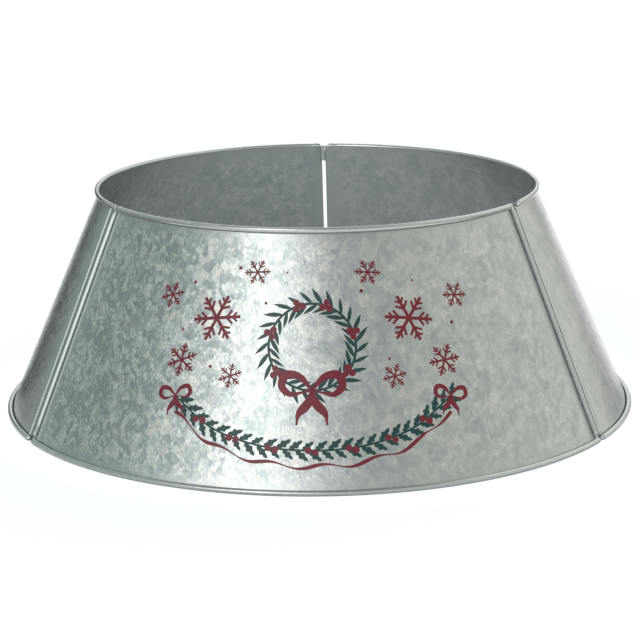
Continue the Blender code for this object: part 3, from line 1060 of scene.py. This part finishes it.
def leafTree():
    # Leaves on both sides of a path, turn about
    shape = decoration["leaf"]
    tree, sockets = startTree("leavesAlongPath", {
        "Spacing": 0.01, "Leaf Length": 0.01, "Leaf Width": 0.005, "Lean": 0.7, "Lobes": 0.0,
        "Material": None})
    path = addNode(tree, "GeometryNodeMeshToCurve", {"Mesh": sockets["Geometry"]})
    path = addNode(tree, "GeometryNodeResampleCurve", {
        "Curve": path, "Length": sockets["Spacing"]}, mode="LENGTH")
    grid = addNode(tree, "GeometryNodeMeshGrid", {
        "Size X": 1.0, "Size Y": 1.0, "Vertices X": shape["columns"], "Vertices Y": 3})
    x, y = addNode(tree, "GeometryNodeInputPosition").parts("XY")
    share = x + 0.5
    lobe = (share * (sockets["Lobes"] * (2 * pi))).math("COSINE")
    bulge = (share.math("POWER", shape["blunt"]) * pi).math("SINE")
    bulge = bulge * (lobe * -shape["lobeDepth"] + shape["body"])
    leaf = moveTo(grid, combine(tree, share * sockets["Leaf Length"], y * bulge * sockets["Leaf Width"]))
    leaf = addNode(tree, "GeometryNodeMergeByDistance", {"Geometry": leaf, "Distance": shape["weld"]})
    index = addNode(tree, "GeometryNodeInputIndex")
    turnAbout = index.math("MODULO", 2) * 2 - 1
    along, up = addNode(tree, "GeometryNodeInputTangent").parts("XY")
    angle = turnAbout * sockets["Lean"] + up.math("ARCTAN2", along)
    size = (index * shape["beat"]).math("SINE") * shape["uneven"] + shape["mean"]
    leaves = scatter(path, leaf, {"Rotation": turned(angle), "Scale": size})
    return endTree(tree, leaves, sockets["Material"])


def dotTree():
    # A round dot on every point of a mesh
    tree, sockets = startTree("dotsOnPoints", {"Radius": 0.002, "Spread": 0.0, "Material": None})
    dot = addNode(tree, "GeometryNodeMeshCircle", {"Vertices": 16, "Radius": 1.0}, fill_type="TRIANGLE_FAN")
    wave = (addNode(tree, "GeometryNodeInputIndex") * decoration["dotBeat"]).math("SINE")
    size = wave * (sockets["Spread"] * sockets["Radius"]) + sockets["Radius"]
    points = addNode(tree, "GeometryNodeMeshToPoints", {"Mesh": sockets["Geometry"]})
    return endTree(tree, scatter(points, dot, {"Scale": size}), sockets["Material"])


def spokeTree():
    # The object's own shape, six times round the middle
    tree, sockets = startTree("sixSpokes", {"X": 0.0, "Y": 0.0, "Turn": 0.0, "Material": None})
    centre = combine(tree, sockets["X"], sockets["Y"])
    points = addNode(tree, "GeometryNodePoints", {"Count": 6, "Position": centre})
    angle = addNode(tree, "GeometryNodeInputIndex") * (pi / 3) + sockets["Turn"]
    spokes = scatter(points, sockets["Geometry"], {"Rotation": turned(angle)})
    return endTree(tree, spokes, sockets["Material"])


def layTree():
    # Lays flat ink on the cone: a flat sheet's polar coordinates about the cone's apex
    tree, sockets = startTree("layInk", {
        "Foot Radius": 0.3, "Foot Height": 0.0, "Slope": 0.4, "Apex Reach": 0.8, "Slant": 0.1, "Side": 0.0,
        "Lift": 0.0, "Wave": 0.0, "Seed": 0.0, "Material": None})
    x, y, z = addNode(tree, "GeometryNodeInputPosition").parts()
    across = x + sockets["Side"]
    towards = sockets["Apex Reach"] - sockets["Slant"] - y
    reach = (across * across + towards * towards).math("SQRT")
    place = sockets["Apex Reach"] - reach
    azimuth = across.math("ARCTAN2", towards) / sockets["Slope"].math("SINE")
    out = z + sockets["Lift"] + slightDents(tree, sockets, azimuth, place)
    laid = moveTo(sockets["Geometry"], conePoint(tree, sockets, azimuth, 0.0, place, out))
    return endTree(tree, laid, sockets["Material"])


def gather(name, parts):
    # One mesh from several, which are removed
    shape = bmesh.new()
    for part in parts:
        shape.from_mesh(part.data)
        bpy.data.objects.remove(part, do_unlink=True)
    return linkShape(name, shape)


def leafyStem(name, route, values, coat, isClosed=False):
    # Leaves along a route, and the stem that carries them
    count = len(route)
    edges = [(index, (index + 1) % count) for index in range(count if isClosed else count - 1)]
    path = linkMesh(name + "Path", [(x, y, 0) for x, y in route], edges=edges)
    leaves = runTree(path, leavesTree, {
        "Spacing": values["spacing"], "Leaf Length": values["length"], "Leaf Width": values["width"],
        "Lean": values["lean"], "Lobes": values["lobes"], "Material": coat})
    stem = route + route[:1] if isClosed else route
    return [leaves, stroke(name + "Stem", stem, lambda share: values["stem"])]


def makeGreenery(coat):
    wreath, swag = decoration["wreath"], decoration["swag"]
    middleX, middleY = wreath["middle"]
    ring = [(middleX + wreath["radius"] * cos(angle), middleY + wreath["radius"] * sin(angle))
            for angle in stepsBetween(-pi / 2, 3 * pi / 2, 96)[:-1]]
    parts = leafyStem("wreath", ring, wreath, coat, isClosed=True)
    return parts + leafyStem("swag", smoothPath(swag["points"], decoration["swagStep"]), swag, coat)


def makeFlake(x, y, size, turn, coat):
    parts = []
    for start, stop, width in decoration["flakeBars"]:
        start, stop = [(size * along, size * across) for along, across in (start, stop)]
        path = [pointBetween(start, stop, share) for share in stepsBetween(0, 1, 5)]
        parts.append(stroke("flakeBar", path, lambda share: width * size))
    arm = gather("flake", parts)
    return runTree(arm, spokesTree, {"X": x, "Y": y, "Turn": turn, "Material": coat})


def makeBerries(coat):
    # In threes on the wreath and in pairs on the swag
    wreath, berry = decoration["wreath"], decoration["berry"]
    radius, reach = berry["radius"], berry["apart"] * berry["radius"]
    places = []
    for angle in berry["wreathTurns"]:
        x = wreath["middle"][0] + wreath["radius"] * cos(angle)
        y = wreath["middle"][1] + wreath["radius"] * sin(angle)
        places += [(x + reach * cos(turn + angle), y + reach * sin(turn + angle), 0)
                   for turn in berry["turns"]]
    route = smoothPath(decoration["swag"]["points"], decoration["swagStep"])
    for x, y in route[berry["swagFirst"]:berry["swagLast"]:berry["swagEvery"]]:
        places += [(x - radius * berry["pairApart"], y, 0),
                   (x + radius * berry["pairApart"], y - radius * berry["pairDrop"], 0)]
    return runTree(linkMesh("berries", places), dotsTree, {
        "Radius": radius, "Spread": berry["uneven"], "Material": coat})


def makeSnow(coat):
    snow = decoration["snow"]
    places = []
    for index in range(snow["count"]):
        angle, reach = index * snow["turn"], snow["start"] + snow["spread"] * index ** 0.5
        x, y = snow["wide"] * reach * cos(angle), snow["middle"] + snow["tall"] * reach * sin(angle)
        isClear = all(hypot(x - flakeX, y - flakeY) > size + snow["clear"]
                      for flakeX, flakeY, size, turn in decoration["flakes"])
        isClear = isClear and hypot(x, y - snow["wreathMiddle"]) > snow["wreathClear"]
        if isClear and abs(x) < snow["halfWidth"] and snow["lowest"] < y < snow["highest"]:
            places.append((x, y, 0))
    return runTree(linkMesh("snow", places), dotsTree, {
        "Radius": snow["radius"], "Spread": snow["uneven"], "Material": coat})


def bowParts(x, y, size):
    # Loops and tails of a tied ribbon
    parts = []
    for side in (1, -1):
        for line, thick in zip((decoration["bowLoop"], decoration["bowTail"]), decoration["bowThick"]):
            points = [(x + side * size * px, y + size * py) for px, py in line]
            route = smoothPath(points, decoration["bowStep"])
            widthAt = lambda share: size * thick * (0.35 + sin(pi * min(share * 1.15, 1)))
            parts.append(stroke("bow", route, widthAt))
    return parts


def makeRibbon():
    # A ribbon that hangs in soft waves below the swag, thick and thin by turns
    ribbon = decoration["ribbon"]
    route = smoothPath(decoration["swag"]["points"], ribbon["step"])
    path = []
    for index, (x, y) in enumerate(route):
        wave = sin(index / (len(route) - 1) * 2 * pi * ribbon["waves"])
        path.append((x, y - ribbon["drop"] + ribbon["wave"] * wave))
    widthAt = lambda share: ribbon["width"] * (1 + 0.5 * cos(share * 2 * pi * ribbon["waves"]))
    return stroke("ribbon", path, widthAt)


def makeInk(name, colour):
    # Screen ink: glossy, a little uneven, darker where it lies thick
    material, tree, shader = startMaterial(name)
    mottle = noise(addNode(tree, "ShaderNodeTexCoord", None, "Object"), ink["mottleScale"], 4.0)
    pale = tuple(part * ink["paler"] + ink["palest"] for part in colour)
    mixColours(tree, fade(mottle, *ink["thin"], "LINEAR"), colour, pale).into(shader, "Base Color")
    (mottle * ink["roughSpread"] + ink["roughness"]).into(shader, "Roughness")
    bump(mottle).into(shader, "Normal")
    return material


def layInk(name, flatShape, coat, lift):
    wave, seed = dents["front"]
    runTree(flatShape, inkTree, {
        **coneValues, "Apex Reach": apexReach, "Slant": decoration["slant"], "Side": decoration["side"],
        "Lift": cone["sheet"] / 2 + ink["thickness"] / 2 - ink["sunk"] + lift,
        "Wave": wave, "Seed": seed, "Material": coat})
    thicken(flatShape, ink["thickness"], False)
    flatShape.name = name
    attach(flatShape, "front_panel")
    print(name, "has", len(flatShape.data.polygons), "faces")


def makeDecoration():
    green, red = makeInk("greenInk", ink["green"]), makeInk("redInk", ink["red"])
    layInk("greenPrint", gather("green", makeGreenery(green)), green, 0)
    x, y = decoration["wreath"]["middle"]
    parts = [makeFlake(*flake, red) for flake in decoration["flakes"]]
    parts += bowParts(x, y - decoration["wreath"]["radius"], decoration["bow"])
    for endX, endY in (decoration["swag"]["points"][0], decoration["swag"]["points"][-1]):
        parts += bowParts(endX, endY, decoration["sideBow"])
    parts += [makeBerries(red), makeSnow(red), makeRibbon()]
    layInk("redPrint", gather("red", parts), red, ink["redOver"])


bpy.context.scene.view_settings.view_transform = "Standard"
makeCamera()
makeWorld()
makeFloor()
print("studio is ready")

panelTree = rollTree()
sides = {"left": (rearLeftSide(), pocketSide(leftSeam)), "front": (hookSide(leftSeam), pocketSide(rightSeam)),
         "right": (hookSide(rightSeam), rearRightSide())}
for turn, side in enumerate(sides):
    coat = makeZinc("zinc" + side.capitalize(), *zinc[side])
    makePanel(side + "PanelSheet", side + "_panel", cone["panelAngle"] * (turn - 1.5),
              *sides[side], coat, *dents[side])
print("panels are ready")

leavesTree, dotsTree, spokesTree, inkTree = leafTree(), dotTree(), spokeTree(), layTree()
makeDecoration()
print("decoration is ready")
